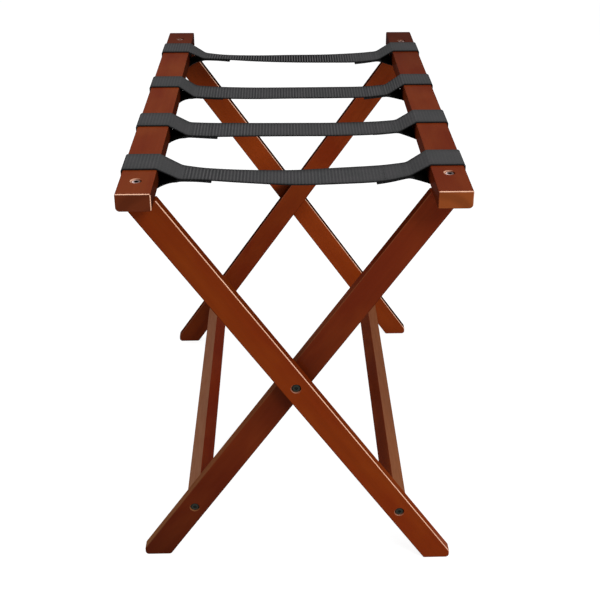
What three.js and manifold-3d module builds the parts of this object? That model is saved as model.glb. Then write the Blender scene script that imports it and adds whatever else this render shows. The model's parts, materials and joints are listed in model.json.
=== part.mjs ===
// A folding luggage rack. Two hardwood frames cross like scissors on one pair of pivot bolts, and
// four webbing straps join their top rails and stop them from opening further.
// Millimetres. +Z is up, +Y runs along the rails, and the origin is on the floor under the middle.
import * as THREE from 'three';
import { mergeVertices } from 'three/addons/utils/BufferGeometryUtils.js';
import Module from 'manifold-3d';

const wasm = await Module();
wasm.setup();

// ---- Driving dimensions ----
const HEIGHT = 508;              // floor to the top face of the rails
const PIVOT_HEIGHT = 253.5;
const TOP_WIDTH = 363.5;         // outside to outside across both rails
const RAIL_LENGTH = 610;
const RAIL_WIDTH = 36.5;
const RAIL_THICKNESS = 19.5;
const RAIL_EDGE_RADIUS = 1.5;
const RAIL_OUTER_RADIUS = 4.5;   // the softer edge under the outside of each rail
const LEG_INSET = 28;            // rail end to the outer leg's outer face
const LEG_WIDTH = 31.5;
const LEG_THICKNESS = 13.5;
const FOOT_LENGTH = 31.6;        // flat underside of a foot
const FOOT_HEEL_RADIUS = 1.5;
const INNER_HEEL_RADIUS = 4;     // the inner legs have a softer heel
const FOOT_TOE_RADIUS = 4.5;
const STRETCHER_WIDTH = 31.5;    // along the leg
const STRETCHER_THICKNESS = 16.4;
const STRETCHER_EDGE_RADIUS = 1.5;
const STRETCHER_REACH = 219.2;   // pivot to the middle of the bar, down the leg
const STRETCHER_SETBACK = 4.4;   // middle of the leg to the middle of the bar, towards the lower edge
const FIT_GAP = 0.3;             // running and assembly clearance on every face

const WASHER_THICKNESS = 1.2;
const WASHER_DIAMETER = 16;
const HEAD_DIAMETER = 9.4;
const HEAD_HEIGHT = 3;
const HEAD_CHAMFER = 0.5;
const HEAD_SINK = 0.8;           // head top below the face of the wood
const COUNTERBORE_CLEARANCE = 1; // between a head and the side of its counterbore
const DRIVE_WIDTH = 4;           // hexagon socket, across flats
const DRIVE_DEPTH = 1.8;
const PIVOT_BOLT_DIAMETER = 6;
const PIVOT_INSERT_DIAMETER = 9;
const INSERT_FLOOR = 2.5;        // wood left behind the blind hole of a pivot insert
const STRETCHER_BOLT_DIAMETER = 4;
const STRETCHER_BOLT_OFFSET = 1; // bolt below the middle of the leg, towards the lower edge
const STRETCHER_INSERT_DIAMETER = 7;
const STRETCHER_INSERT_LENGTH = 16;
const RAIL_SCREW_DIAMETER = 4.5;
const RAIL_SCREW_GRIP = 17;      // length held in the end of the leg
const SCREW_POINT_LENGTH = 4;
const DOWEL_DIAMETER = 6;
const DOWEL_SPACING = 10.5;      // rail screw to dowel, towards the inside of the rack
const DOWEL_IN_RAIL = 10;
const DOWEL_IN_LEG = 14;
const DOWEL_CHAMFER = 0.8;

const STRAP_WIDTH = 44;
const STRAP_THICKNESS = 1.9;
const STRAP_FRONT_GAP = 6.2;     // inner leg to the edge of the first strap
const STRAP_BACK_GAP = 10.8;     // edge of the last strap to the inner leg
const STRAP_MIDDLE_SHIFT = 11;   // the middle straps stand this far forward of an even spacing
const LOOP_LENGTH = 25;          // rail edge to the seam that closes the loop
const TAIL_LENGTH = 30;          // lower ply past the seam
const SEAM_DROP = 10;            // rail top to the strap's upper face at the seam
const SPAN_SAGS = [18, 12, 14, 14]; // rail top to mid-span, one for each strap, front to back
const STAPLE_WIRE = 1;
const STAPLE_WIDTH = 10;
const STAPLE_LEG = 8;            // wire length in the rail

const ARC_STEPS = 3;             // facets on a rounded corner
const ROUND_STEPS = 16;          // facets around a bolt or hole
const CURVE_STEPS = 5;           // facets along each bend of a strap

// ---- Worked out from them ----
const RAIL_CENTRE = TOP_WIDTH / 2 - RAIL_WIDTH / 2;
const RAIL_INNER_EDGE = TOP_WIDTH / 2 - RAIL_WIDTH;
const RAIL_UNDERSIDE = HEIGHT - RAIL_THICKNESS;
const LEAN = Math.atan2(RAIL_CENTRE, RAIL_UNDERSIDE - PIVOT_HEIGHT);
const LEG_GAP = WASHER_THICKNESS + 2 * FIT_GAP;
const OUTER_LEG_FACE = RAIL_LENGTH / 2 - LEG_INSET;
const INNER_LEG_FACE = OUTER_LEG_FACE - LEG_THICKNESS - LEG_GAP;
const SEAT_DEPTH = HEAD_SINK + HEAD_HEIGHT;
const STRAP_OFFSET = FIT_GAP + STRAP_THICKNESS / 2;
const STRAP_COUNT = SPAN_SAGS.length;

// ---- Materials ----
const wood = () => new THREE.MeshStandardMaterial({ color: 0x6e2b18, roughness: 0.35, metalness: 0 });
const webbing = () => new THREE.MeshStandardMaterial({ color: 0x4a4a4b, roughness: 0.9, metalness: 0 });
const blackSteel = () => new THREE.MeshStandardMaterial({ color: 0x1b1b1d, roughness: 0.4, metalness: 0.8 });
const zincSteel = () => new THREE.MeshStandardMaterial({ color: 0xb4b4b0, roughness: 0.35, metalness: 1 });
const bareWood = () => new THREE.MeshStandardMaterial({ color: 0xc59a63, roughness: 0.7, metalness: 0 });
const nylon = () => new THREE.MeshStandardMaterial({ color: 0x222222, roughness: 0.5, metalness: 0 });

// ---- Building blocks ----
function toSolid(geometry) {
  const bare = geometry.clone();
  bare.deleteAttribute('normal');
  bare.deleteAttribute('uv');
  const merged = mergeVertices(bare, 1e-4);
  const index = merged.index.array;
  const triangles = [];
  for (let i = 0; i < index.length; i += 3) {
    const [a, b, c] = [index[i], index[i + 1], index[i + 2]];
    if (a !== b && b !== c && c !== a) triangles.push(a, b, c);
  }
  const vertProperties = new Float32Array(merged.attributes.position.array);
  const triVerts = new Uint32Array(triangles);
  return new wasm.Manifold(new wasm.Mesh({ numProp: 3, vertProperties, triVerts }));
}

function toGeometry(solid) {
  const { vertProperties, triVerts } = solid.getMesh();
  const geometry = new THREE.BufferGeometry();
  geometry.setAttribute('position', new THREE.BufferAttribute(vertProperties, 3));
  geometry.setIndex(new THREE.BufferAttribute(triVerts, 1));
  geometry.computeVertexNormals();
  return geometry;
}

function cut(geometry, tools) {
  let solid = toSolid(geometry);
  for (const tool of tools) solid = solid.subtract(toSolid(tool));
  return toGeometry(solid);
}

function named(name, geometry, material) {
  const mesh = new THREE.Mesh(geometry, material);
  mesh.name = name;
  return mesh;
}

// A closed outline whose corners are arcs. Each corner is [x, y, radius].
function roundedShape(corners) {
  const points = [];
  corners.forEach(([x, y, radius], i) => {
    const [px, py] = corners[(i + corners.length - 1) % corners.length];
    const [nx, ny] = corners[(i + 1) % corners.length];
    const corner = new THREE.Vector2(x, y);
    const before = new THREE.Vector2(px - x, py - y);
    const after = new THREE.Vector2(nx - x, ny - y);
    const halfAngle = Math.acos(before.dot(after) / before.length() / after.length()) / 2;
    const room = 0.45 * Math.min(before.length(), after.length()) * Math.tan(halfAngle);
    const r = Math.min(radius, room);
    if (r <= 0) {
      points.push(corner);
      return;
    }
    before.normalize();
    after.normalize();
    const middle = before.clone().add(after).normalize();
    const centre = corner.clone().addScaledVector(middle, r / Math.sin(halfAngle));
    const start = corner.clone().addScaledVector(before, r / Math.tan(halfAngle)).sub(centre);
    const turn = Math.sign(before.cross(after)) * (Math.PI - 2 * halfAngle);
    for (let step = 0; step <= ARC_STEPS; step += 1) {
      const spoke = start.clone().rotateAround(new THREE.Vector2(), -turn * step / ARC_STEPS);
      points.push(centre.clone().add(spoke));
    }
  });
  return new THREE.Shape(points);
}

// An outline drawn in X and Z, extruded along Y between two stations.
function bar(shape, yFrom, yTo) {
  const geometry = new THREE.ExtrudeGeometry(shape, { depth: yTo - yFrom, bevelEnabled: false });
  return geometry.rotateX(Math.PI / 2).translate(0, yTo, 0);
}

// A profile of [radius, height] pairs turned about +Z.
function turned(profile, steps = ROUND_STEPS) {
  const points = profile.map(([radius, height]) => new THREE.Vector2(radius, height));
  return new THREE.LatheGeometry(points, steps).rotateX(Math.PI / 2);
}

function rod(radius, zFrom, zTo) {
  return turned([[0, zFrom], [radius, zFrom], [radius, zTo], [0, zTo]]);
}

// Turns something built along +Z so that its top faces out of a leg, on the side given by sign.
function facingOut(geometry, sign, x, y, z) {
  return geometry.rotateX(-sign * Math.PI / 2).translate(x, y, z);
}

// A point given by its distance down the leg from the pivot and its distance above the leg's middle.
function onLeg(down, across) {
  const x = down * Math.sin(LEAN) + across * Math.cos(LEAN);
  const z = PIVOT_HEIGHT - down * Math.cos(LEAN) + across * Math.sin(LEAN);
  return [x, z];
}

// ---- Fasteners: each stands on +Z with the top of its head at z = 0 ----
function socketHead(shankDiameter, shankLength, pointLength) {
  const shank = shankDiameter / 2;
  const head = HEAD_DIAMETER / 2;
  const end = -HEAD_HEIGHT - shankLength;
  const tip = pointLength > 0 ? [[0, end], [shank, end + pointLength]] : [[0, end], [shank, end]];
  const body = turned([
    ...tip,
    [shank, -HEAD_HEIGHT],
    [head, -HEAD_HEIGHT],
    [head, -HEAD_CHAMFER],
    [head - HEAD_CHAMFER, 0],
    [0, 0],
  ]);
  const corner = DRIVE_WIDTH / 2 / Math.cos(Math.PI / 6);
  const socket = turned([[0, -DRIVE_DEPTH], [corner, -DRIVE_DEPTH], [corner, 1], [0, 1]], 6);
  return cut(body, [socket]);
}

// The hole for one: a counterbore open upwards from the seat, and a shank hole below it.
function socketHeadBore(shankDiameter, shankLength) {
  const shank = shankDiameter / 2 + FIT_GAP;
  const counterbore = HEAD_DIAMETER / 2 + COUNTERBORE_CLEARANCE;
  const seat = -HEAD_HEIGHT - FIT_GAP;
  const end = -HEAD_HEIGHT - shankLength - FIT_GAP;
  return turned([[0, end], [shank, end], [shank, seat], [counterbore, seat], [counterbore, 5], [0, 5]]);
}

function sleeve(outerDiameter, boreDiameter, length) {
  const outer = outerDiameter / 2;
  const bore = boreDiameter / 2 + FIT_GAP;
  return turned([[bore, -length], [outer, -length], [outer, 0], [bore, 0], [bore, -length]]);
}

function dowel() {
  const radius = DOWEL_DIAMETER / 2;
  const top = DOWEL_IN_RAIL;
  const end = -DOWEL_IN_LEG;
  return turned([
    [0, end],
    [radius - DOWEL_CHAMFER, end],
    [radius, end + DOWEL_CHAMFER],
    [radius, top - DOWEL_CHAMFER],
    [radius - DOWEL_CHAMFER, top],
    [0, top],
  ]);
}

// ---- Lengths of the fasteners and of what takes them ----
const PIVOT_INSERT_LENGTH = LEG_THICKNESS - INSERT_FLOOR - 2 * FIT_GAP;
const PIVOT_SHANK = LEG_THICKNESS - SEAT_DEPTH + LEG_GAP + FIT_GAP + PIVOT_INSERT_LENGTH;
const STRETCHER_SHANK = LEG_THICKNESS - SEAT_DEPTH + 2 * FIT_GAP + STRETCHER_INSERT_LENGTH;
const RAIL_SCREW_SHANK = RAIL_THICKNESS - SEAT_DEPTH + RAIL_SCREW_GRIP;
const DOWEL_X = -RAIL_CENTRE + DOWEL_SPACING;

const pivotBore = () => socketHeadBore(PIVOT_BOLT_DIAMETER, PIVOT_SHANK);
const stretcherBore = () => socketHeadBore(STRETCHER_BOLT_DIAMETER, STRETCHER_SHANK);
const railScrewBore = () => socketHeadBore(RAIL_SCREW_DIAMETER, RAIL_SCREW_SHANK);
const dowelBore = () => rod(DOWEL_DIAMETER / 2 + FIT_GAP, -DOWEL_IN_LEG - FIT_GAP, DOWEL_IN_RAIL + FIT_GAP);
const [boltX, boltZ] = onLeg(STRETCHER_REACH, -STRETCHER_BOLT_OFFSET);

// ---- Wooden parts of one frame, which leans from the left rail down to the right foot ----
function rail(strapCentres, legCentres) {
  const left = -TOP_WIDTH / 2;
  const right = -RAIL_INNER_EDGE;
  const profile = roundedShape([
    [left, RAIL_UNDERSIDE, RAIL_OUTER_RADIUS],
    [right, RAIL_UNDERSIDE, RAIL_EDGE_RADIUS],
    [right, HEIGHT, RAIL_EDGE_RADIUS],
    [left, HEIGHT, RAIL_EDGE_RADIUS],
  ]);
  const tools = [];
  for (const y of legCentres) {
    tools.push(railScrewBore().translate(-RAIL_CENTRE, y, HEIGHT - HEAD_SINK));
    tools.push(dowelBore().translate(DOWEL_X, y, RAIL_UNDERSIDE));
  }
  for (const y of strapCentres) tools.push(...stapleBores(y));
  return cut(bar(profile, -RAIL_LENGTH / 2, RAIL_LENGTH / 2), tools);
}

function legOutline(heelRadius) {
  const half = LEG_WIDTH / 2;
  const topZ = RAIL_UNDERSIDE - FIT_GAP;
  const downAt = (z, across) => (PIVOT_HEIGHT + across * Math.sin(LEAN) - z) / Math.cos(LEAN);
  const [heelX] = onLeg(downAt(0, -half), -half);
  const toeX = heelX + FOOT_LENGTH;
  const toeDown = (toeX - half * Math.cos(LEAN)) / Math.sin(LEAN);
  const [, toeTop] = onLeg(toeDown, half);
  return roundedShape([
    [heelX, 0, heelRadius],
    [toeX, 0, FOOT_TOE_RADIUS],
    [toeX, toeTop, FOOT_TOE_RADIUS],
    [...onLeg(downAt(topZ, half), half), 0],
    [...onLeg(downAt(topZ, -half), -half), 0],
  ]);
}

// sign is the end of the rack, -1 or 1, and face is the distance of the leg's outer face from the middle.
function leg(sign, face, isOuter) {
  const y0 = sign * face;
  const y1 = sign * (face - LEG_THICKNESS);
  const middle = (y0 + y1) / 2;
  const tools = [
    railScrewBore().translate(-RAIL_CENTRE, middle, HEIGHT - HEAD_SINK),
    dowelBore().translate(DOWEL_X, middle, RAIL_UNDERSIDE),
    facingOut(stretcherBore(), sign, boltX, y0 - sign * HEAD_SINK, boltZ),
  ];
  if (isOuter) tools.push(facingOut(pivotBore(), sign, 0, y0 - sign * HEAD_SINK, PIVOT_HEIGHT));
  else {
    const pocket = rod(PIVOT_INSERT_DIAMETER / 2 + FIT_GAP, INSERT_FLOOR - LEG_THICKNESS, 5);
    tools.push(facingOut(pocket, sign, 0, y0, PIVOT_HEIGHT));
  }
  const outline = legOutline(isOuter ? FOOT_HEEL_RADIUS : INNER_HEEL_RADIUS);
  return cut(bar(outline, Math.min(y0, y1), Math.max(y0, y1)), tools);
}

function stretcher(face) {
  const half = STRETCHER_WIDTH / 2;
  const upper = STRETCHER_THICKNESS / 2 - STRETCHER_SETBACK;
  const lower = -STRETCHER_THICKNESS / 2 - STRETCHER_SETBACK;
  const section = roundedShape([
    [...onLeg(STRETCHER_REACH + half, lower), STRETCHER_EDGE_RADIUS],
    [...onLeg(STRETCHER_REACH + half, upper), STRETCHER_EDGE_RADIUS],
    [...onLeg(STRETCHER_REACH - half, upper), STRETCHER_EDGE_RADIUS],
    [...onLeg(STRETCHER_REACH - half, lower), STRETCHER_EDGE_RADIUS],
  ]);
  const end = face - LEG_THICKNESS - FIT_GAP;
  const pockets = [-1, 1].map((sign) => {
    const depth = STRETCHER_INSERT_LENGTH + 2 * FIT_GAP;
    const pocket = rod(STRETCHER_INSERT_DIAMETER / 2 + FIT_GAP, -depth, 5);
    return facingOut(pocket, sign, boltX, sign * end, boltZ);
  });
  return cut(bar(section, -end, end), pockets);
}

// ---- Webbing ----
function strapCentres() {
  const first = -INNER_LEG_FACE + LEG_THICKNESS + STRAP_FRONT_GAP + STRAP_WIDTH / 2;
  const last = INNER_LEG_FACE - LEG_THICKNESS - STRAP_BACK_GAP - STRAP_WIDTH / 2;
  return Array.from({ length: STRAP_COUNT }, (_, i) => {
    const isMiddle = i > 0 && i < STRAP_COUNT - 1;
    return first + (last - first) * i / (STRAP_COUNT - 1) - (isMiddle ? STRAP_MIDDLE_SHIFT : 0);
  });
}

// Both faces of a ply whose middle line is given, as lists of points. Its ends are cut upright.
function plyFaces(centreLine) {
  const faces = [1, -1].map((side) => centreLine.map((point, i) => {
    const isEnd = i === 0 || i === centreLine.length - 1;
    const along = isEnd ? new THREE.Vector2(1, 0) : centreLine[i + 1].clone().sub(centreLine[i - 1]);
    const normal = new THREE.Vector2(-along.y, along.x).normalize();
    return point.clone().addScaledVector(normal, side * STRAP_THICKNESS / 2);
  }));
  return { upper: faces[0], lower: faces[1] };
}

// The part of a strap that grips the left rail: over its top, down its outer side and under it.
function wrapShape() {
  const outline = (grow) => {
    const left = -TOP_WIDTH / 2 - grow;
    const top = HEIGHT + grow;
    const bottom = RAIL_UNDERSIDE - grow;
    return roundedShape([
      [-RAIL_CENTRE, bottom, 0],
      [-RAIL_CENTRE, top, 0],
      [left, top, RAIL_EDGE_RADIUS + grow],
      [left, bottom, RAIL_OUTER_RADIUS + grow],
    ]).getPoints();
  };
  const outside = outline(FIT_GAP + STRAP_THICKNESS).slice(1);
  const inside = outline(FIT_GAP).slice(1);
  const edge = -RAIL_INNER_EDGE;
  const shift = (point) => (point.x > -RAIL_CENTRE - 1 ? new THREE.Vector2(edge, point.y) : point);
  const ends = [
    new THREE.Vector2(edge, RAIL_UNDERSIDE - FIT_GAP - STRAP_THICKNESS),
    new THREE.Vector2(edge, RAIL_UNDERSIDE - FIT_GAP),
  ];
  return new THREE.Shape([...outside.map(shift), ...ends, ...inside.map(shift).reverse()]);
}

// The part between the rail and mid-span: the upper ply, and the end of the strap sewn under it.
function spanShape(sag) {
  const edge = -RAIL_INNER_EDGE + FIT_GAP;
  const seam = edge + LOOP_LENGTH;
  const middle = -FIT_GAP / 2;
  const topZ = HEIGHT + STRAP_OFFSET;
  const seamZ = HEIGHT - SEAM_DROP - STRAP_THICKNESS / 2;
  const middleZ = HEIGHT - sag - STRAP_THICKNESS / 2;
  const bottomZ = RAIL_UNDERSIDE - STRAP_OFFSET;
  const seamSlope = 2 * (middleZ - seamZ) / (middle - seam);
  const third = LOOP_LENGTH / 3;
  const point = (x, z) => new THREE.Vector2(x, z);
  const ramp = new THREE.CubicBezierCurve(
    point(edge, topZ),
    point(edge + third, topZ - (topZ - seamZ) * 0.4),
    point(seam - third, seamZ - seamSlope * third),
    point(seam, seamZ),
  );
  const flat = new THREE.QuadraticBezierCurve(
    point(seam, seamZ),
    point((seam + middle) / 2, middleZ),
    point(middle, middleZ),
  );
  const rise = new THREE.CubicBezierCurve(
    point(edge, bottomZ),
    point(edge + third, bottomZ + (seamZ - STRAP_THICKNESS - bottomZ) * 0.6),
    point(seam - third, seamZ - STRAP_THICKNESS - seamSlope * third),
    point(seam, seamZ - STRAP_THICKNESS),
  );
  const tailEnd = flat.getPoints(2 * CURVE_STEPS).filter(({ x }) => x < seam + TAIL_LENGTH);
  const lastTail = flatPointAt(flat, seam + TAIL_LENGTH);
  const body = flat.getPoints(2 * CURVE_STEPS).filter(({ x }) => x >= seam + TAIL_LENGTH);
  const near = [...ramp.getPoints(CURVE_STEPS), ...tailEnd.slice(1), lastTail];
  const upperPly = plyFaces([...near, ...body]);
  const seamIndex = CURVE_STEPS;
  const tailIndex = near.length - 1;
  const drop = point(0, -STRAP_THICKNESS);
  const tail = near.slice(seamIndex + 1).map((p) => p.clone().add(drop));
  const lowerPly = plyFaces([...rise.getPoints(CURVE_STEPS), ...tail]);
  return new THREE.Shape([
    ...lowerPly.lower,
    ...upperPly.lower.slice(tailIndex),
    ...upperPly.upper.slice().reverse(),
    ...upperPly.lower.slice(0, seamIndex + 1),
    ...lowerPly.upper.slice(0, seamIndex).reverse(),
  ]);
}

function flatPointAt(curve, x) {
  const { v0, v1, v2 } = curve;
  const a = v0.x - 2 * v1.x + v2.x;
  const b = 2 * (v1.x - v0.x);
  const c = v0.x - x;
  const t = Math.abs(a) < 1e-9 ? -c / b : (-b + Math.sqrt(b * b - 4 * a * c)) / (2 * a);
  return curve.getPoint(t);
}

// ---- Staples: crown under the lower ply, two legs up through it into the rail ----
const STAPLE_TOP = RAIL_UNDERSIDE + STAPLE_LEG;
const STAPLE_SEAT = RAIL_UNDERSIDE - 2 * FIT_GAP - STRAP_THICKNESS;
const STAPLE_LEG_Y = STAPLE_WIDTH / 2 - STAPLE_WIRE / 2;

function staple(y) {
  const half = STAPLE_WIDTH / 2;
  const bottom = STAPLE_SEAT - STAPLE_WIRE;
  const outline = new THREE.Shape([
    new THREE.Vector2(-half, bottom),
    new THREE.Vector2(half, bottom),
    new THREE.Vector2(half, STAPLE_TOP),
    new THREE.Vector2(half - STAPLE_WIRE, STAPLE_TOP),
    new THREE.Vector2(half - STAPLE_WIRE, STAPLE_SEAT),
    new THREE.Vector2(STAPLE_WIRE - half, STAPLE_SEAT),
    new THREE.Vector2(STAPLE_WIRE - half, STAPLE_TOP),
    new THREE.Vector2(-half, STAPLE_TOP),
  ]);
  const wire = bar(outline, -STAPLE_WIRE / 2, STAPLE_WIRE / 2);
  return wire.rotateZ(Math.PI / 2).translate(-RAIL_CENTRE, y, 0);
}

function stapleBores(y) {
  const side = STAPLE_WIRE + 2 * FIT_GAP;
  const height = STAPLE_TOP + FIT_GAP - STAPLE_SEAT + 5;
  const middle = STAPLE_TOP + FIT_GAP - height / 2;
  return [-1, 1].map((sign) => {
    const bore = new THREE.BoxGeometry(side, side, height);
    return bore.translate(-RAIL_CENTRE, y + sign * STAPLE_LEG_Y, middle);
  });
}

// ---- Assembly ----
// Each frame is built as the outer one lies. The inner frame is the same thing turned half round,
// with its legs and stretcher set further in, so its front and back names swap.
function frame(name, face, turn, strapNames) {
  const group = new THREE.Group();
  group.rotation.z = turn;
  const isOuter = name === 'outer';
  const flip = isOuter ? 1 : -1;
  const endName = (sign) => (sign * flip < 0 ? 'front' : 'back');
  const centres = strapCentres().map((y) => y * flip);
  const legCentre = face - LEG_THICKNESS / 2;
  group.add(named(`${name}_top_rail`, rail(centres, [-legCentre, legCentre]), wood()));
  group.add(named(`${name}_stretcher`, stretcher(face), wood()));
  for (const sign of [-1, 1]) {
    const end = endName(sign);
    const y = sign * legCentre;
    const headY = sign * (face - HEAD_SINK);
    group.add(named(`${name}_leg_${end}`, leg(sign, face, isOuter), wood()));

    const screw = socketHead(RAIL_SCREW_DIAMETER, RAIL_SCREW_SHANK, SCREW_POINT_LENGTH);
    screw.translate(-RAIL_CENTRE, y, HEIGHT - HEAD_SINK);
    group.add(named(`${name}_rail_screw_${end}`, screw, blackSteel()));
    group.add(named(`${name}_rail_dowel_${end}`, dowel().translate(DOWEL_X, y, RAIL_UNDERSIDE), bareWood()));

    const bolt = facingOut(socketHead(STRETCHER_BOLT_DIAMETER, STRETCHER_SHANK, 0), sign, boltX, headY, boltZ);
    group.add(named(`${name}_stretcher_bolt_${end}`, bolt, blackSteel()));
    const insert = sleeve(STRETCHER_INSERT_DIAMETER, STRETCHER_BOLT_DIAMETER, STRETCHER_INSERT_LENGTH);
    facingOut(insert, sign, boltX, sign * (face - LEG_THICKNESS - 2 * FIT_GAP), boltZ);
    group.add(named(`${name}_stretcher_insert_${end}`, insert, zincSteel()));
  }
  centres.forEach((y, i) => {
    const wrap = bar(wrapShape(), y - STRAP_WIDTH / 2, y + STRAP_WIDTH / 2);
    group.add(named(`${strapNames[i]}_wrap`, cut(wrap, stapleBores(y)), webbing()));
    const span = bar(spanShape(SPAN_SAGS[i]), y - STRAP_WIDTH / 2, y + STRAP_WIDTH / 2);
    group.add(named(`${strapNames[i]}_span`, span, webbing()));
    group.add(named(`${strapNames[i]}_staple`, staple(y), zincSteel()));
  });
  return group;
}

// The pivots: a bolt through the outer leg into a blind insert in the inner one, a washer between.
function pivots() {
  const group = new THREE.Group();
  for (const sign of [-1, 1]) {
    const end = sign < 0 ? 'front' : 'back';
    const bolt = socketHead(PIVOT_BOLT_DIAMETER, PIVOT_SHANK, 0);
    facingOut(bolt, sign, 0, sign * (OUTER_LEG_FACE - HEAD_SINK), PIVOT_HEIGHT);
    group.add(named(`pivot_bolt_${end}`, bolt, blackSteel()));
    const washer = sleeve(WASHER_DIAMETER, PIVOT_BOLT_DIAMETER, WASHER_THICKNESS);
    facingOut(washer, sign, 0, sign * (OUTER_LEG_FACE - LEG_THICKNESS - FIT_GAP), PIVOT_HEIGHT);
    group.add(named(`pivot_washer_${end}`, washer, nylon()));
    const insert = sleeve(PIVOT_INSERT_DIAMETER, PIVOT_BOLT_DIAMETER, PIVOT_INSERT_LENGTH);
    facingOut(insert, sign, 0, sign * (INNER_LEG_FACE - FIT_GAP), PIVOT_HEIGHT);
    group.add(named(`pivot_insert_${end}`, insert, zincSteel()));
  }
  return group;
}

const rack = new THREE.Group();
const strapNumbers = Array.from({ length: STRAP_COUNT }, (_, i) => i + 1);
rack.add(frame('outer', OUTER_LEG_FACE, 0, strapNumbers.map((n) => `strap_${n}_left`)));
rack.add(frame('inner', INNER_LEG_FACE, Math.PI, strapNumbers.map((n) => `strap_${n}_right`)));
rack.add(pivots());

export default rack;
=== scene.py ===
import json
import math

import bmesh
import bpy
import numpy as np
from mathutils import Matrix, Vector


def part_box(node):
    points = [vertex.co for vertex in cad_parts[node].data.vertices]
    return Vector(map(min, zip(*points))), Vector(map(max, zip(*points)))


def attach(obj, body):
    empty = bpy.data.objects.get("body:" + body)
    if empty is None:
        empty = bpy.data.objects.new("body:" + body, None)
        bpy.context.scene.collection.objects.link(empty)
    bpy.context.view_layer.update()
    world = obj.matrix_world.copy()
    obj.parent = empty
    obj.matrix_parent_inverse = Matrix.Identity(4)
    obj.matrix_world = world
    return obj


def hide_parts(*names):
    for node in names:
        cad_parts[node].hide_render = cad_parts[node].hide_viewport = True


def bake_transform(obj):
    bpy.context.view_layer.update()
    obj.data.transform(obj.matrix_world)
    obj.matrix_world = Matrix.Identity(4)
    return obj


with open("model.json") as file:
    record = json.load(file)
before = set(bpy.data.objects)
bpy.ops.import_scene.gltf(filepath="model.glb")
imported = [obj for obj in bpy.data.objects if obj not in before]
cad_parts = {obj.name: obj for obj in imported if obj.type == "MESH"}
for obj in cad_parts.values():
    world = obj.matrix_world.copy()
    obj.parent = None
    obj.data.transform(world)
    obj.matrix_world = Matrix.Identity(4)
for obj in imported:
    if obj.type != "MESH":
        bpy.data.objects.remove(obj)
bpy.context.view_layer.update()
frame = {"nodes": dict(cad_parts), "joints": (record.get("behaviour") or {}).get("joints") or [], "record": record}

# ---------- sizes and tones
# The outer frame's rail is on the left. The inner frame's is on the right, mirrored in X.
SIGN = {"outer": 1, "inner": -1}
(RAIL_OUTER, _, RAIL_BOTTOM), (RAIL_INNER, _, RAIL_TOP) = (Vector(c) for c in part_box("outer_top_rail"))
wrap_low, wrap_high = (Vector(c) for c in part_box("strap_1_left_wrap"))
PIVOT = Vector(frame["joints"][0]["pos_m"])
LEAN = math.atan2(-(RAIL_OUTER + RAIL_INNER) / 2, RAIL_BOTTOM - PIVOT.z)    # of a leg, from upright

FRONT, BACK, UP = Vector((0, -1, 0)), Vector((0, 1, 0)), Vector((0, 0, 1))
RIGHT_ANGLE = math.pi / 2

# The wooden bars
HALF_LEG = 0.0315 / 2       # of its width, and of a stretcher's
BAR_RADIUS = 0.0015         # long edges of rails and stretchers
RAIL_OUTER_RADIUS = 0.0045  # the softer edge under the outside of each rail
HEEL_RADIUS = {"outer": 0.0015, "inner": 0.004}
TOE_RADIUS = 0.0045
LEAST_RADIUS = 0.0003       # of any corner
STRETCHER_THICKNESS = 0.0164
STRETCHER_REACH = 0.2192    # pivot to the middle of the bar, down the leg
STRETCHER_SETBACK = 0.0044  # middle of the leg to the middle of the bar
EDGE = 0.0011               # edges rubbed over before staining
STRETCHER_EDGE = 0.0004
EDGE_STEPS = 6
CORNER_STEPS = 6
SMOOTH_ANGLE = math.radians(38)
FACE_WEIGHT = 90            # how far large faces decide the shading of their edges
WORN_AND_LIT = 0.95                 # how pale the palest edges are: rubbed through the stain, and a painted highlight
WORN_AND_LIT_LITTLE = 0.4           # of that
WORN_AND_LIT_FROM, WORN_AND_LIT_RUN = 0.001, 0.006      # up an upright edge from the rail's underside

# The counterbores over the heads of screws and bolts
HEAD_SINK = 0.0008
HEAD_HEIGHT = 0.003
HEAD_CLEARANCE = 0.001
SEAT_GAP = 0.0003
CUT_PAST = 0.002            # how far a cutter's flare goes on past the bore's mouth
BORE_STEPS = 48
# The flare at the mouth of each bore, wide and deep, and how pale its wall is: it is drilled after
# staining, so its raw wood shows all round, and on one side a painted highlight makes it paler still.
BORES = {
    "outer_rail_screw_front": (0.0009, 0.0004, 0.75),
    "inner_rail_screw_front": (0.0009, 0.0004, 0.8),
    "outer_rail_screw_back": (0.0003, 0.0003, 0.1),
    "inner_rail_screw_back": (0.0004, 0.0003, 0.2),
}
PLAIN_BORE = (0.0004, 0.0003, 0.35)
RAIL_LIT_SIDE = Vector((-1, 0, 0))         # which side takes the painted highlight, in the rails' tops
LEG_LIT_SIDE = Vector((-0.7, 0, -0.7))     # and in the legs' sides
BARE_ROUND, PAINTED_LIGHT_THERE = 0.45, 0.6      # shares of the paleness: raw wood all round, and a painted highlight more on that side
WALL_MARGIN, DEPTH_MARGIN = 0.0001, 0.00001
FLAT_ON = 0.95              # a face that looks along the bore's axis is its seat, not its wall
SAWN_FACING = 0.97          # a face that looks along a rail is its sawn end

# The rail screws: where the socket's tone ends, from the axis; and for each, that tone (painted shade
# in the front screws' sockets, a painted glint in the back ones) and the tones across its head from
# left to right, a painted highlight.
SOCKET_RIM = (0.0024, 0.0036)
SCREW_REACH = 0.0047
HIGHLIT_FROM_LEFT = ("#1e1416", ((0.0, "#e6d2d0"), (0.3, "#b89c98"), (0.55, "#76544c"), (1.0, "#4e3028")))
SCREW_LIGHT_AND_SHADE = {
    "outer_rail_screw_front": HIGHLIT_FROM_LEFT,
    "inner_rail_screw_front": HIGHLIT_FROM_LEFT,
    "outer_rail_screw_back": ("#84543e", ((0.0, "#5e3020"), (1.0, "#5a2a1c"))),
    "inner_rail_screw_back": ("#7a5a52", ((0.0, "#58342a"), (0.45, "#a08078"), (1.0, "#a4867e"))),
}
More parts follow.
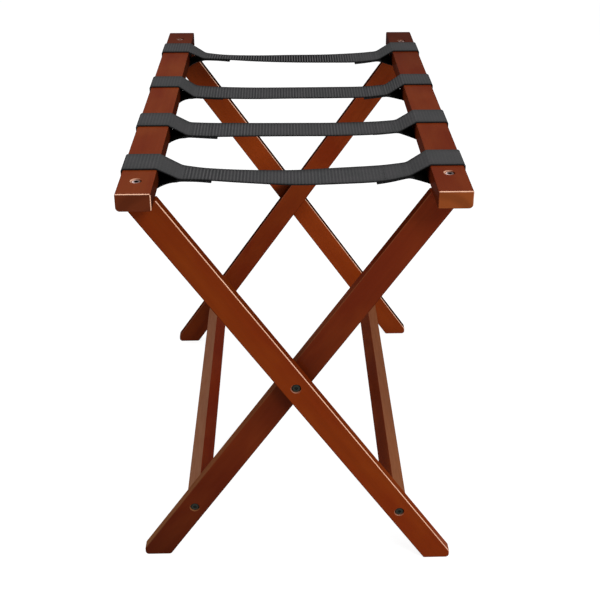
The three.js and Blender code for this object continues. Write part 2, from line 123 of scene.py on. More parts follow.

# Stain of each bar: its two long-grain tones, and the pale wood that shows where it is rubbed, which
# also serves for painted highlights and painted reflections. A bar's place in this list also decides
# which grain it is cut from.
TONES = {
    "outer_rail": ("#6e2a15", "#773519", "#f6c4a6"),
    "outer_leg_front": ("#74290a", "#7a310c", "#f6c4a6"),
    "outer_leg_back": ("#7a2e0c", "#843610", "#f6c4a6"),
    "outer_stretcher": ("#571f0b", "#62280e", "#cc9066"),
    "inner_rail": ("#672510", "#712f15", "#f6c4a6"),
    "inner_leg_front": ("#61210d", "#6b2a10", "#cc9460"),
    "inner_leg_back": ("#70270d", "#7a3110", "#f6c4a6"),
    "inner_stretcher": ("#6a210c", "#722a10", "#ba9674"),
}
SAWN_TONES = {"outer_rail": "#602a15", "inner_rail": "#87441f"}
# The dark tone that painted shade on the wood goes towards
PAINTED_SHADE_TONE = "#1c0602"
BEECH = ("#a9824f", "#c9a46c", "#d8b888")
BEECH_ORDER = 9
GRAIN_ALONG_Y = (0, 0, RIGHT_ANGLE)
GRAIN_UPRIGHT = (0, RIGHT_ANGLE, 0)
GRAIN_SHIFT = Vector((0.37, 0.11, 0.23))    # from one bar to the next
# How the tone changes along a rail or a leg, partly stain and partly painted light and shade: painted
# shadows just under the rails and where the legs cross, painted light and shade down the legs, and
# darker towards the rails' rear. Metres towards the rear, or down the leg from the pivot, and the
# tone there. The other bars are even.
EVEN = ((-0.3, 1.0), (0.3, 1.0))
TONE_AND_SHADE_FADES = {
    "outer_rail": ((-0.3, 0.96), (-0.1, 1.0), (0.16, 0.98), (0.22, 0.72), (0.3, 0.5)),
    "inner_rail": ((-0.3, 0.98), (0.0, 1.0), (0.1, 0.88), (0.18, 0.74), (0.24, 0.5), (0.3, 0.42)),
    "outer_leg_front": ((-0.32, 0.7), (-0.26, 0.95), (-0.1, 1.04), (0.1, 1.06), (0.3, 1.14)),
    "outer_leg_back": (
        (-0.3, 0.12), (-0.27, 0.2), (-0.257, 0.64), (-0.22, 0.7), (-0.17, 0.82), (-0.09, 1.24),
        (-0.04, 1.1), (-0.031, 1.1), (-0.022, 0.4), (-0.003, 0.4), (0.012, 1.3), (0.1, 1.2),
        (0.19, 1.1), (0.3, 0.9),
    ),
    "inner_leg_front": (
        (-0.25, 1.2), (-0.1, 1.02), (0.02, 0.66), (0.1, 0.94), (0.2, 0.78), (0.3, 0.56),
    ),
    "inner_leg_back": (
        (-0.3, 0.95), (-0.17, 1.25), (-0.08, 1.38), (-0.02, 1.05), (0.15, 1.0), (0.24, 0.56),
        (0.33, 0.6),
    ),
}
FADE_REACH = 0.35           # the fades run this far each way
BUMP_HEIGHT = 0.0003        # of pores and yarns
HEART_BESIDE = 0.026        # from the middle of a rail's end to the heart of its rings
HEART_BELOW = 0.028         # and from its underside
# How pale the front upper edge of each leg is: partly rubbed through, partly a painted highlight
LEG_EDGE_WEAR_AND_LIGHT = {
    "outer_leg_front": 0.95, "outer_leg_back": 0.85, "inner_leg_front": 0.09, "inner_leg_back": 0.05,
}
# The upper side of each leg and stretcher, paler with a painted reflection (up to 1) or darker with
# painted shade (down to -1), by distance as above: down the leg, or towards the rear.
UPPER_SPREAD = 20           # degrees, of the faces that count as that side
UPPER_BARENESS = 0.7        # how much of the lacquer is missing there
UPPER_SIDE_SHADE_AND_SHEEN = {
    "outer_leg_front": (
        (-0.33, -0.3), (-0.1, -0.4), (-0.02, -0.25), (0.03, -0.25), (0.2, -0.1), (0.33, 0.1),
    ),
    "outer_leg_back": ((-0.33, -0.92), (0.33, -0.9)),
    "inner_leg_front": (
        (-0.34, 0.05), (-0.29, -0.62), (-0.23, -0.55), (-0.19, -0.4), (-0.165, -0.03), (-0.12, 0.05),
        (0.03, 0.08), (0.33, 0.25),
    ),
    "inner_leg_back": ((-0.33, -0.9), (0.15, -0.85), (0.22, -0.5), (0.33, -0.4)),
    "outer_stretcher": ((-0.3, 0.27), (0.3, 0.19)),
    "inner_stretcher": ((-0.3, 0.36), (0.3, 0.26)),
}

# The straps
SIDES = ("left", "right")
STRAP_WIDTH = wrap_high.y - wrap_low.y
STRAP_THICK = 0.0017
STRAP_GAP = 0.0002          # air between the webbing and the rail
PLY_STEP = 1.08             # plies laid on each other, in thicknesses
RIB_PITCH = 0.0037          # one rib of the webbing
RIB_STEPS = 8
RIB_DEPTH = 0.0002
RIB_BEAT = (0.55, 1.0)      # no two ribs are beaten up quite alike
# How much of the ribs shows where the webbing lies on the rail, and on its way down to the seam.
PRESSED = {"left": 0.45, "right": 0.4}
PULLED = {"left": 0.1, "right": 1.0}
RAMP_SHADE = 0.07           # the webbing is a little darker there
ON_RAIL_SHADE = 0.4         # how much of the rear selvedge's darkness shows on the rail,
OFF_RAIL = 0.012            # and how far beside the rail all of it shows
TAIL_DROOP = 0.0008         # how far the loose end of a lower ply hangs off the upper one
SEAM_EASE = 0.003           # half the length of the bend at a seam
LOWER_BOW = {"left": 0.0016, "right": 0.0002}
HUG_RADIUS = 0.0016         # the bend where a lower ply leaves the rail's inner side
HUG_RISE = 0.0012           # and how far that is above the rail's corner
# Points along one edge of a strap: in each stretch between stations, in the bow of a lower ply, in
# the bend at a seam, and round a small and a large corner; and rounds of looking for a tangent.
HANG_STEPS = 12
BOW_STEPS = 10
BEND_STEPS = 8
TURN_STEPS = 6
WIDE_TURN_STEPS = 12
TANGENT_ROUNDS = 12
# Ribs and shade come on over so many points each way.
RIBS_REACH = 12
HIDDEN_REACH = 6

# Each strap hangs with its own sag and a slight twist, and lies a little askew on the rails. In
# millimetres, from the left seam to the right one: the drop below the rails' top along the rear
# edge and along the front edge, at the seams and at SPAN_STATIONS between them.
SPAN_STATIONS = (-95, -50, 0, 50, 95)
HANG = {
    1: ((11.5, 15.6, 18.6, 19.6, 17.7, 15.7, 12.7), (10.1, 11.2, 15.1, 18.5, 18.1, 16.2, 10.8)),
    2: ((10.0, 11.3, 12.1, 12.8, 13.3, 12.7, 11.0), (10.6, 12.2, 12.4, 12.9, 13.4, 12.6, 10.4)),
    3: ((10.9, 13.1, 14.6, 15.0, 15.1, 14.9, 12.9), (12.0, 14.0, 15.2, 15.2, 15.4, 15.0, 12.3)),
    4: ((12.4, 15.6, 16.7, 16.2, 15.8, 13.9, 11.4), (8.0, 9.0, 11.8, 13.6, 14.2, 14.0, 10.8)),
}
# From mid-span, on the left and on the right, in millimetres
SEAMS = {1: (122, 124), 2: (124, 125), 3: (126.5, 124.5), 4: (124, 125)}
TAIL_ENDS = {1: (88.5, 88.5), 2: (89, 95), 3: (89.5, 94), 4: (87.5, 91.5)}
# How far towards the rear a strap lies on the left and on the right rail, in millimetres; and how
# far from mid-span it has got there.
ASKEW = {1: (0, 5.8), 2: (0, 5.5), 3: (1, 5.5), 4: (4, 4)}
ASKEW_REACH = 0.12
# The lower plies that are sewn on nearer the rear than the upper ones, and by how much; and how far
# from the seam, towards the rail, they are back under them.
SEWN_ASKEW = {(2, "right"): 0.004, (3, "left"): 0.0018}
SEWN_RUN = 0.04
# How much of the ribs shows along each span: beside the left seam, in the middle, and beside
# the right seam; and how narrow their crests are.
RIBS = {
    1: ((0.75, 0.5, 0.2), 1.7),
    2: ((0.65, 0.55, 0.4), 1.7),
    3: ((0.6, 0.7, 0.6), 2.0),
    4: ((1.0, 1.8, 0.3), 2.2),
}
RIBS_MIDDLE, RIBS_BESIDE = 0.03, 0.1    # metres from mid-span
# From the bottom of a rib to its crest: painted shade darkens the groove
RIB_SHADE_TONES = ((0.0, "#1c1c1d"), (0.15, "#343435"), (0.35, "#434344"), (0.6, "#4c4c4c"), (1.0, "#666566"))
# Which edges of a lower ply, rear and front, run up the rail's inner side before they leave it:
# here, and on all the others.
HUGGING = {(4, "left"): (False, False)}
USUAL_HUGGING = (True, False)
# The webbing's section: flat faces, and a denser, rounded selvedge along each edge. For each point,
# its place from the front edge (-1) to the rear (1), its thickness, its share of the ribs, and how
# dark it is with painted shade.
SECTION = (
    (-1.0, 0.35, 0.2, 0.65),
    (-0.985, 0.8, 0.5, 0.6),
    (-0.955, 1.05, 0.8, 0.4),
    (-0.9, 0.95, 1.0, 0.12),
    (-0.6, 1.0, 1.0, 0.0),
    (-0.2, 1.0, 1.0, 0.0),
    (0.2, 1.0, 1.0, 0.0),
    (0.5, 1.0, 1.0, 0.03),
    (0.75, 1.0, 1.0, 0.22),
    (0.92, 0.95, 1.0, 0.5),
    (0.965, 1.05, 0.8, 0.65),
    (0.985, 0.8, 0.5, 0.75),
    (1.0, 0.35, 0.2, 0.85),
)

# The stitches: slender, six sided beads along Y, in rows past each seam.
STITCH_LENGTH = 0.0026
STITCH_PITCH = 0.0034
STITCH_RADIUS = 0.0003
STITCH_ROWS = (0.005, 0.027)
STITCH_SIDES = 6
STITCHED = 0.86             # of the strap's width
STITCH_SHAPE = ((-0.5, 0.15), (-0.38, 0.8), (0.0, 1.0), (0.38, 0.8), (0.5, 0.15))
ROW_POINTS = 8              # rings of the webbing looked through for both plies at a row


# ---------- making things
def linked(name, data):
    """A new object in the scene."""
    item = bpy.data.objects.new(name, data)
    bpy.context.scene.collection.objects.link(item)
    return item


def cleared_tree(owner):
    owner.use_nodes = True
    owner.node_tree.nodes.clear()
    return owner.node_tree


def new_material(name):
    material = bpy.data.materials.new(name)
    return material, cleared_tree(material)


def colour(value):
    """A linear colour from a hex string, a grey or three channels; a socket stays as it is."""
    if isinstance(value, bpy.types.NodeSocket):
        return value
    if isinstance(value, str):
        channels = [int(value[i:i + 2], 16) / 255 for i in (1, 3, 5)]
        value = [c / 12.92 if c <= 0.04045 else ((c + 0.055) / 1.055) ** 2.4 for c in channels]
    elif isinstance(value, (int, float)):
        value = [value] * 3
    return [*value, 1]


def feed(tree, node, inputs):
    """Links each input of a node to a socket, or sets it to a value; with the node's outputs."""
    for name, value in inputs.items():
        if isinstance(value, bpy.types.NodeSocket):
            tree.links.new(value, node.inputs[name])
        else:
            node.inputs[name].default_value = value
    return node.outputs


def add(tree, kind, inputs):
    return feed(tree, tree.nodes.new(f"ShaderNode{kind}"), inputs)


def object_place(tree):
    return add(tree, "TexCoord", {})["Object"]


def attribute(tree, name):
    node = tree.nodes.new("ShaderNodeAttribute")
    node.attribute_name = name
    return node.outputs["Fac"]


def maths(tree, operation, *values, clamp=False):
    node = tree.nodes.new("ShaderNodeMath")
    node.operation = operation
    node.use_clamp = clamp
    return feed(tree, node, dict(enumerate(values)))[0]


def vector_maths(tree, operation, *values):
    node = tree.nodes.new("ShaderNodeVectorMath")
    node.operation = operation
    outputs = feed(tree, node, dict(enumerate(values)))
    return outputs["Value" if operation in ("DOT_PRODUCT", "LENGTH") else "Vector"]


def map_range(tree, value, low, high, to_low=0.0, to_high=1.0):
    inputs = {"Value": value, "From Min": low, "From Max": high, "To Min": to_low, "To Max": to_high}
    return add(tree, "MapRange", inputs)[0]


def mix_colour(tree, factor, first, second, blend="MIX"):
    node = tree.nodes.new("ShaderNodeMix")
    node.data_type = "RGBA"
    node.blend_type = blend
    return feed(tree, node, {0: factor, 6: colour(first), 7: colour(second)})[2]


def ramp(tree, value, stops):
    """A colour ramp through (place, colour) stops."""
    node = tree.nodes.new("ShaderNodeValToRGB")
    elements = node.color_ramp.elements
    stops = [(place, colour(tone)) for place, tone in stops]
    elements[1].position, elements[1].color = stops[-1]
    elements[0].position, elements[0].color = stops[0]
    for place, tone in stops[1:-1]:
        elements.new(place).color = tone
    return feed(tree, node, {0: value})[0]


def noise(tree, vector, scale=1.0, detail=3.0, roughness=0.5, distortion=0.0):
    settings = {"Scale": scale, "Detail": detail, "Roughness": roughness, "Distortion": distortion}
    return add(tree, "TexNoise", {"Vector": vector, **settings})["Fac"]


def bump(tree, height, strength):
    return add(tree, "Bump", {"Strength": strength, "Distance": BUMP_HEIGHT, "Height": height})[0]


def principled(tree, inputs):
    """Puts a Principled shader with these inputs on the surface."""
    shader = add(tree, "BsdfPrincipled", inputs)[0]
    add(tree, "OutputMaterial", {"Surface": shader})


def seen_or_not(tree, unseen, seen):
    """Two shaders in one: seen by the camera, in metal or through glass, and unseen otherwise."""
    path = add(tree, "LightPath", {})
    direct = maths(tree, "MAXIMUM", path["Is Camera Ray"], path["Is Glossy Ray"])
    factor = maths(tree, "MAXIMUM", direct, path["Is Transmission Ray"])
    return add(tree, "MixShader", {0: factor, 1: unseen, 2: seen})[0]


# ---------- camera, floor and light
def make_camera():
    """The view of the photo, fitted to the rack's corners and edges in it."""
    yaw, pitch_down, roll = -0.0348972, 0.4624457, 0.0049225
    data = bpy.data.cameras.new("camera")
    data.sensor_width = 36
    data.lens = 64.565
    data.shift_x = -1 / 30
    data.shift_y = -1 / 12
    camera = linked("camera", data)
    camera.matrix_world = (
        Matrix.Translation((-0.009427, -1.300628, 0.940037))
        @ Matrix.Rotation(yaw, 4, "Z")
        @ Matrix.Rotation(RIGHT_ANGLE - pitch_down, 4, "X")
        @ Matrix.Rotation(roll, 4, "Z")
    )
    bpy.context.scene.camera = camera


def make_floor():
    """White paper with a light shadow where it is seen, and plain pale ground otherwise."""
    size = 6
    mesh = bpy.data.meshes.new("floor")
    corners = [(-size, -size, 0), (size, -size, 0), (size, size, 0), (-size, size, 0)]
    mesh.from_pydata(corners, [], [(0, 1, 2, 3)])
    floor = linked("floor", mesh)
    material, tree = new_material("white_floor")
    paper = add(tree, "BsdfDiffuse", {"Color": colour(0.3)})[0]
    glow = add(tree, "Emission", {"Color": colour(1), "Strength": 0.86})[0]
    seen_paper = add(tree, "AddShader", {0: paper, 1: glow})[0]
    plain = add(tree, "BsdfDiffuse", {"Color": colour(0.75)})[0]
    add(tree, "OutputMaterial", {"Surface": seen_or_not(tree, plain, seen_paper)})
    mesh.materials.append(material)


def area_light(name, place, size, power, target=(0, 0, 0.3)):
    data = bpy.data.lights.new(name, "AREA")
    data.shape = "RECTANGLE"
    data.size, data.size_y = size
    data.energy = power
    light = linked(name, data)
    light.location = place
    light.rotation_euler = (Vector(target) - Vector(place)).to_track_quat("-Z", "Y").to_euler()


def make_light():
    area_light("key", (1.1, -1.9, 2.2), (0.9, 0.9), 36)
    area_light("side", (1.5, -0.75, 0.62), (0.35, 0.6), 5.5, (0.1, -0.2, 0.25))
    area_light("top", (-0.5, 0.3, 2.6), (1.4, 1.4), 14)
    area_light("fill", (-2.2, -1.4, 1.2), (1.4, 1.4), 9)
    area_light("back", (-1.0, 1.7, 2.5), (1.2, 1.2), 12)
    world = bpy.data.worlds.new("studio")
    bpy.context.scene.world = world
    tree = cleared_tree(world)
    lit, white = (add(tree, "Background", {"Color": colour(1), "Strength": s})[0] for s in (0.34, 1))
    add(tree, "OutputWorld", {"Surface": seen_or_not(tree, lit, white)})
    bpy.context.scene.view_settings.view_transform = "Standard"


# ---------- materials
def fade_place(distance):
    """Where a distance along a bar falls on the ramps that fade it."""
    return (distance + FADE_REACH) / (2 * FADE_REACH)


def stained_wood(name, tones, turn, order, along=BACK, start=0.0, fade=EVEN, upper=(), sawn=None,
                 heart=(0, 0)):
    """Stained hardwood under satin lacquer. turn lays the grain along the bar. Its tone, partly stain and
    partly painted light and shade, fades by distance along the bar from start, and so does the finish of
    its upper side, with its painted shade and painted reflection. Edges are pale where worn and where a
    highlight is painted, and dark with painted shade. sawn is the tone of the ends of a bar along Y,
    and heart is where their rings centre, in X and Z."""
    red, brown, bare_and_lit = tones
    material, tree = new_material(name)
    place = object_place(tree)
    shift = GRAIN_SHIFT * order
    mapping = tree.nodes.new("ShaderNodeMapping")
    mapping.vector_type = "TEXTURE"
    lay = feed(tree, mapping, {"Vector": place, "Location": shift, "Rotation": turn})[0]

    def grain(squeeze, **settings):
        return noise(tree, vector_maths(tree, "MULTIPLY", lay, squeeze), **settings)

    broad = grain((11.0, 28.0, 28.0), detail=2.0, distortion=0.3)
    figure = grain((5.0, 170.0, 170.0), roughness=0.55, distortion=0.5)
    pores = grain((60.0, 1500.0, 1500.0), detail=2.0, roughness=0.6)
    tone = ramp(tree, broad, [(0.36, red), (0.64, brown)])
    streak = ramp(tree, figure, [(0.3, (0.84, 0.82, 0.8)), (0.68, 1.08)])
    streaked = mix_colour(tree, 0.4, tone, streak, "MULTIPLY")
    pore_tone = ramp(tree, pores, [(0.36, (0.7, 0.68, 0.66)), (0.5, 1)])
    pored = mix_colour(tree, 0.15, streaked, pore_tone, "MULTIPLY")

    # The tone changes along the bar: partly stain, partly painted light and shade.
    travelled = vector_maths(tree, "DOT_PRODUCT", place, along)
    share = map_range(tree, travelled, start - FADE_REACH, start + FADE_REACH)
    depth = ramp(tree, share, [(fade_place(d), v) for d, v in fade])
    stained = mix_colour(tree, 1.0, pored, depth, "MULTIPLY")

    if sawn:
        # Sawn ends show their rings instead of the long grain.
        centred = vector_maths(tree, "ADD", lay, (0.0, heart[0] - shift.x, shift.z - heart[1]))
        wave = tree.nodes.new("ShaderNodeTexWave")
        wave.wave_type = "RINGS"
        wave.rings_direction = "X"
        settings = {"Scale": 14.0, "Distortion": 4.0, "Detail": 2.0, "Detail Scale": 1.5}
        rings = feed(tree, wave, {"Vector": centred, **settings})["Fac"]
        dark_sawn = [c * 0.8 for c in colour(sawn)[:3]]
        sawn_tone = ramp(tree, rings, [(0.1, dark_sawn), (0.75, sawn)])
        stained = mix_colour(tree, attribute(tree, "sawn"), stained, sawn_tone)

    # Edges and upper sides: pale where worn and where a highlight or reflection is painted, and darker with
    # painted shade.
    marked = attribute(tree, "edge_tone")
    if upper:
        # The ramp holds tones from -1 to 1 as 0 to 1.
        stops = [(fade_place(d), (v + 1) / 2) for d, v in upper]
        signed = maths(tree, "MULTIPLY_ADD", ramp(tree, share, stops), 2.0, -1.0)
        is_upper = attribute(tree, "upper_side")
        marked = maths(tree, "MULTIPLY_ADD", signed, is_upper, marked)
    uneven = grain((35.0, 200.0, 200.0), detail=2.0)
    rubbed_and_lit = maths(tree, "MULTIPLY", marked, map_range(tree, uneven, 0.3, 0.6, 0.8, 1.0), clamp=True)
    painted_shade = maths(tree, "MULTIPLY", marked, -1.0, clamp=True)
    pale = mix_colour(tree, rubbed_and_lit, stained, bare_and_lit)

    # Lacquer is thin where shade is painted, and on the upper sides.
    bareness = painted_shade
    if upper:
        bareness = maths(tree, "MULTIPLY_ADD", is_upper, UPPER_BARENESS, painted_shade)
    principled(tree, {
        "Base Color": mix_colour(tree, painted_shade, pale, PAINTED_SHADE_TONE),
        "Roughness": 0.5,
        "Specular IOR Level": 0.0,
        "Coat Weight": map_range(tree, bareness, 0.0, 1.0, 0.045, 0.0),
        "Coat Roughness": 0.22,
        "Normal": bump(tree, pores, 0.1),
    })
    return material


def webbing_material():
    """Ribbed charcoal webbing: the ribs are modelled, and this adds the yarns, their tone, painted shade in the
    ribs' grooves and the painted shade of the shade attribute.
    """
    material, tree = new_material("charcoal_webbing")
    place = object_place(tree)
    yarn = noise(tree, vector_maths(tree, "MULTIPLY", place, (900.0, 1500.0, 900.0)), detail=2.0)
    broad = noise(tree, place, 45.0, roughness=0.6)
    base = ramp(tree, attribute(tree, "rib"), RIB_SHADE_TONES)
    yarn_tone = ramp(tree, yarn, [(0.3, (0.76, 0.76, 0.77)), (0.7, (1.14, 1.14, 1.13))])
    woven = mix_colour(tree, 0.6, base, yarn_tone, "MULTIPLY")
    broad_tone = ramp(tree, broad, [(0.3, (0.9, 0.92, 0.92)), (0.7, (1.06, 1.02, 1.05))])
    toned = mix_colour(tree, 0.8, woven, broad_tone, "MULTIPLY")
    # The shade attribute is painted shade: it darkens the selvedges, the inside of each loop and the ramps.
    principled(tree, {
        "Base Color": mix_colour(tree, attribute(tree, "shade"), toned, "#0c0c0b"),
        "Roughness": 0.85,
        "Specular IOR Level": 0.0,
        "Coat Weight": 0.015,
        "Coat Roughness": 0.5,
        "Normal": bump(tree, yarn, 0.35),
    })
    return material


def thread_material():
    """Waxed black thread, twisted along each stitch."""
    material, tree = new_material("black_thread")
    twist = noise(tree, object_place(tree), 2500.0, detail=2.0)
    tone = ramp(tree, twist, [(0.35, "#1c1c1c"), (0.65, "#3a3a3a")])
    principled(tree, {"Base Color": tone, "Roughness": 0.6, "Specular IOR Level": 0.1})
    return material


def metal(name, tone, roughness, metallic=1.0, specular=0.5):
    """A speckled finish for steel or nylon: its tone and roughness vary a little."""
    material, tree = new_material(name)
    speck = noise(tree, object_place(tree), 700.0, roughness=0.6)
    dark, light = ([min(1, c * share) for c in tone] for share in (0.7, 1.35))
    smooth, highlit = (roughness * share for share in (0.8, 1.2))
    principled(tree, {
        "Base Color": ramp(tree, speck, [(0.3, dark), (0.7, light)]),
        "Roughness": ramp(tree, speck, [(0.3, smooth), (0.7, highlit)]),
        "Metallic": metallic,
        "Specular IOR Level": specular,
    })
    return material


def lit_screw_metal(name, centre, socket, head):
    """Plated steel with a painted highlight across its head from its left to its right, round a socket of its own
    painted tone.
    """
    material, tree = new_material(name)
    place = object_place(tree)
    from_centre = vector_maths(tree, "SUBTRACT", place, centre)
    radius = vector_maths(tree, "LENGTH", vector_maths(tree, "MULTIPLY", from_centre, (1, 1, 0)))
    beside = add(tree, "SeparateXYZ", {0: from_centre})["X"]
    painted_highlight = ramp(tree, map_range(tree, beside, -SCREW_REACH, SCREW_REACH), head)
    scratches = noise(tree, place, 1400.0, roughness=0.6)
    scratched = ramp(tree, scratches, [(0.35, (0.7, 0.68, 0.68)), (0.6, 1)])
    plated = mix_colour(tree, 1.0, painted_highlight, scratched, "MULTIPLY")
    finished = mix_colour(tree, map_range(tree, radius, *SOCKET_RIM), socket, plated)
    principled(tree, {"Base Color": finished, "Metallic": 1.0, "Roughness": 0.4})
    return material


# ---------- meshes
def tube_faces(rows, ring, first=0):
    """The faces of a closed tube through rows of ring points each, numbered from first."""
    last = first + (rows - 1) * ring
    faces = []
    for start in range(first, last, ring):
        for j in range(ring):
            a, b = start + j, start + (j + 1) % ring
            faces.append((a, b, b + ring, a + ring))
    faces.append(tuple(range(first + ring - 1, first - 1, -1)))
    faces.append(tuple(range(last, last + ring)))
    return faces


def tube(name, rings):
    """A closed mesh through rings of as many points each."""
    mesh = bpy.data.meshes.new(name)
    mesh.from_pydata([p for ring in rings for p in ring], [], tube_faces(len(rings), len(rings[0])))
    return mesh


def face_outwards(mesh):
    edit = bmesh.new()
    edit.from_mesh(mesh)
    bmesh.ops.recalc_face_normals(edit, faces=edit.faces)
    edit.to_mesh(mesh)
    edit.free()


def finish_mesh(mesh, material):
    mesh.polygons.foreach_set("use_smooth", [True] * len(mesh.polygons))
    mesh.materials.clear()
    mesh.materials.append(material)


# ---------- wood
def rounded_outline(corners, inset):
    """Points round a convex outline of (x, z, radius) corners, moved inwards by inset."""
    points = []
    for i, (x, z, radius) in enumerate(corners):
        corner = Vector((x, z))
        before = (corner - Vector(corners[i - 1][:2])).normalized()
        after = (Vector(corners[(i + 1) % len(corners)][:2]) - corner).normalized()
        start = Vector((before.y, -before.x))
        end = Vector((after.y, -after.x))
        left = max(radius - inset, LEAST_RADIUS)
        centre = corner - (start + end) * ((inset + left) / (1 + start.dot(end)))
        turn = math.atan2(start.x * end.y - start.y * end.x, start.dot(end))
        first = math.atan2(start.y, start.x)
        for step in range(CORNER_STEPS + 1):
            angle = first + turn * step / CORNER_STEPS
            points.append(centre + left * Vector((math.cos(angle), math.sin(angle))))
    return points


def rounded_bar(name, corners, y_from, y_to, edge):
    """A closed bar with this outline in X and Z, rounded over where its sides meet its ends."""
    rings = []
    for y_end, inward in ((y_from, 1), (y_to, -1)):
        rows = []
        for step in range(EDGE_STEPS + 1):
            angle = RIGHT_ANGLE * step / EDGE_STEPS
            y = y_end + inward * edge * (1 - math.cos(angle))
            outline = rounded_outline(corners, edge * (1 - math.sin(angle)))
            rows.append([(p.x, y, p.y) for p in outline])
        rings += rows if inward == 1 else rows[::-1]
    mesh = tube(name, rings)
    face_outwards(mesh)
    return mesh


def fastener_bore(node, out):
    """The counterbore over a fastener's head, whose axis runs along out: a cutter, the middle of
    its mouth, that direction, the radius of the mouth and how pale the wall is."""
    low, high = (Vector(c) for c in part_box(node))
    axis = max(range(3), key=lambda i: abs(out[i]))
    top = high[axis] if out[axis] > 0 else low[axis]
    middle = (low + high) / 2
    middle[axis] = top + out[axis] * HEAD_SINK
    across = (axis + 1) % 3
    wall = (high[across] - low[across]) / 2 + HEAD_CLEARANCE
    flare, flare_depth, bare_and_lit = BORES.get(node, PLAIN_BORE)
    profile = [
        (wall, -HEAD_SINK - HEAD_HEIGHT - SEAT_GAP),
        (wall, -flare_depth),
        (wall + flare + CUT_PAST, CUT_PAST * (flare_depth / flare)),
    ]
    angles = [2 * math.pi * step / BORE_STEPS for step in range(BORE_STEPS)]
    rings = [[(r * math.cos(a), r * math.sin(a), height) for a in angles] for r, height in profile]
    cutter = tube("cutter", rings)
    cutter.transform(Matrix.Translation(middle) @ out.to_track_quat("Z", "Y").to_matrix().to_4x4())
    return cutter, middle, out, wall + flare, bare_and_lit


def cut_bores(piece, bores):
    cutters = [linked("cutter", mesh) for mesh, *_ in bores]
    for cutter in cutters:
        cut = piece.modifiers.new("cut", "BOOLEAN")
        cut.operation = "DIFFERENCE"
        cut.solver = "EXACT"
        cut.object = cutter
    view = bpy.context.evaluated_depsgraph_get()
    view.update()
    result = bpy.data.meshes.new_from_object(piece.evaluated_get(view))
    piece.modifiers.clear()
    piece.data = result
    for cutter in cutters:
        bpy.data.objects.remove(cutter)


def cosine(degrees):
    return math.cos(math.radians(degrees))


def paint_edges(mesh, rules, bores, has_sawn_ends, above):
    """Marks pale edges (up to 1), partly worn and partly a painted highlight, and edges in painted shade
    (down to -1), sawn ends and, where above is given, the side that faces it, face by face. Bore walls
    are pale: raw wood, with a painted highlight on one side. A rule is a direction, how many degrees off
    it a face may look, and the mark."""
    limits = [(toward.normalized(), cosine(spread), mark) for toward, spread, mark in rules]
    marks = {"edge_tone": [], "sawn": [], "upper_side": []}
    for face in mesh.polygons:
        value = 0.0
        for toward, limit, mark in limits:
            if face.normal.dot(toward) > limit:
                value = mark(face.center) if callable(mark) else mark
        for _, place, out, mouth, bare_and_lit in bores:
            from_axis = face.center - place
            depth = from_axis.dot(out)
            radius = (from_axis - out * depth).length
            below = radius < mouth + WALL_MARGIN and depth < -DEPTH_MARGIN
            if below and abs(face.normal.dot(out)) < FLAT_ON:
                lit_side = RAIL_LIT_SIDE if out == UP else LEG_LIT_SIDE
                share = BARE_ROUND + PAINTED_LIGHT_THERE * from_axis.dot(lit_side) / radius
                value = bare_and_lit * max(0.0, min(1.0, share))
        marks["edge_tone"].append(value)
        marks["sawn"].append(float(has_sawn_ends and abs(face.normal.y) > SAWN_FACING))
        is_upper = above is not None and face.normal.dot(above) > cosine(UPPER_SPREAD)
        marks["upper_side"].append(float(is_upper))
    for name, values in marks.items():
        mesh.attributes.new(name, "FLOAT", "FACE").data.foreach_set("value", values)


def make_bar(node, bar, side, material, corners, edge=EDGE, bores=(), rules=(), above=None):
    """A finished bar in the place of a node, as far along Y as the node reaches."""
    low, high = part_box(node)
    name = f"{bar}_wood"
    body = f"{side}_frame"
    piece = linked(name, rounded_bar(name, corners, low[1], high[1], edge))
    if bores:
        cut_bores(piece, bores)
    paint_edges(piece.data, rules, bores, bar in SAWN_TONES, above)
    finish_mesh(piece.data, material)
    piece.data.set_sharp_from_angle(angle=SMOOTH_ANGLE)
    weighted = piece.modifiers.new("weighted", "WEIGHTED_NORMAL")
    weighted.mode = "FACE_AREA_WITH_ANGLE"
    weighted.weight = FACE_WEIGHT
    weighted.keep_sharp = True
    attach(piece, body)
    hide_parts(node)


def on_leg(side, down, across):
    """A point in X and Z, down a leg from the pivot and above the leg's middle line."""
    x = down * math.sin(LEAN) + across * math.cos(LEAN)
    z = PIVOT.z - down * math.cos(LEAN) + across * math.sin(LEAN)
    return SIGN[side] * x, z


def ordered(side, *corners):
    """Corners drawn for the outer frame, kept counter-clockwise when mirrored for the inner one."""
    return corners if side == "outer" else corners[::-1]


def rail_corners(side):
    low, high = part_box(f"{side}_top_rail")
    outer, inner = (low[0], high[0]) if side == "outer" else (high[0], low[0])
    return ordered(
        side,
        (outer, low[2], RAIL_OUTER_RADIUS),
        (inner, low[2], BAR_RADIUS),
        (inner, high[2], BAR_RADIUS),
        (outer, high[2], BAR_RADIUS),
    )


def leg_corners(side):
    low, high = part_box(f"{side}_leg_front")
    toe = high[0] if side == "outer" else -low[0]

    def at_height(z, across):
        return on_leg(side, (PIVOT.z + across * math.sin(LEAN) - z) / math.cos(LEAN), across)

    toe_down = (toe - HALF_LEG * math.cos(LEAN)) / math.sin(LEAN)
    return ordered(
        side,
        (at_height(0, -HALF_LEG)[0], 0, HEEL_RADIUS[side]),
        (SIGN[side] * toe, 0, TOE_RADIUS),
        (SIGN[side] * toe, on_leg(side, toe_down, HALF_LEG)[1], TOE_RADIUS),
        (*at_height(high[2], HALF_LEG), 0),
        (*at_height(high[2], -HALF_LEG), 0),
    )


def stretcher_corners(side):
    upper = STRETCHER_THICKNESS / 2 - STRETCHER_SETBACK
    lower = upper - STRETCHER_THICKNESS
    far, near = STRETCHER_REACH + HALF_LEG, STRETCHER_REACH - HALF_LEG
    places = ((far, lower), (far, upper), (near, upper), (near, lower))
    return ordered(side, *((*on_leg(side, *place), BAR_RADIUS) for place in places))


